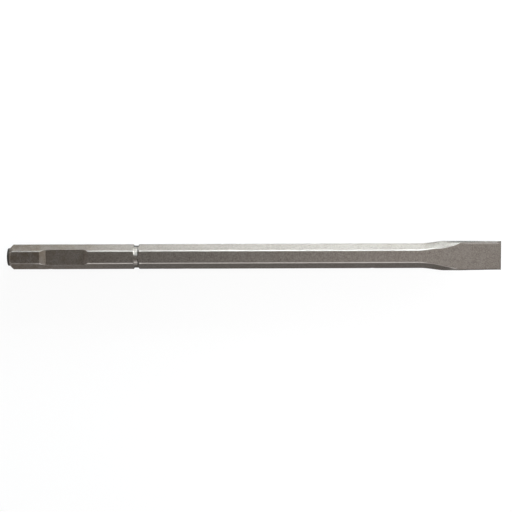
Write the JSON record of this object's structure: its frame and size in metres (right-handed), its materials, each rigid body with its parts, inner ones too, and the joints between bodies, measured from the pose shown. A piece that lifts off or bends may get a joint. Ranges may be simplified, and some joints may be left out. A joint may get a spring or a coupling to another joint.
{
  "type": "hex shank chisel",
  "caption": "Flat demolition chisel forged from one hexagon steel bar, with a latch recess and ring groove in its shank and a wide wedge blade.",
  "frame": {"origin": "centre of the round striking face at the shank's end, on the bar's axis", "axes": "+X along the bar's axis from the striking face to the cutting edge, +Z out of the flat that has the latch recess, +Y to the left when looking along +X; the chisel lies on its -Z flat"},
  "size_m": [0.424, 0.0254, 0.019],
  "materials": {
    "forged_steel": "grey blasted tool steel, satin, brighter where corners and edges are worn"
  },
  "bodies": {
    "root": {"chisel": "forged_steel"}
  },
  "joints": []
}
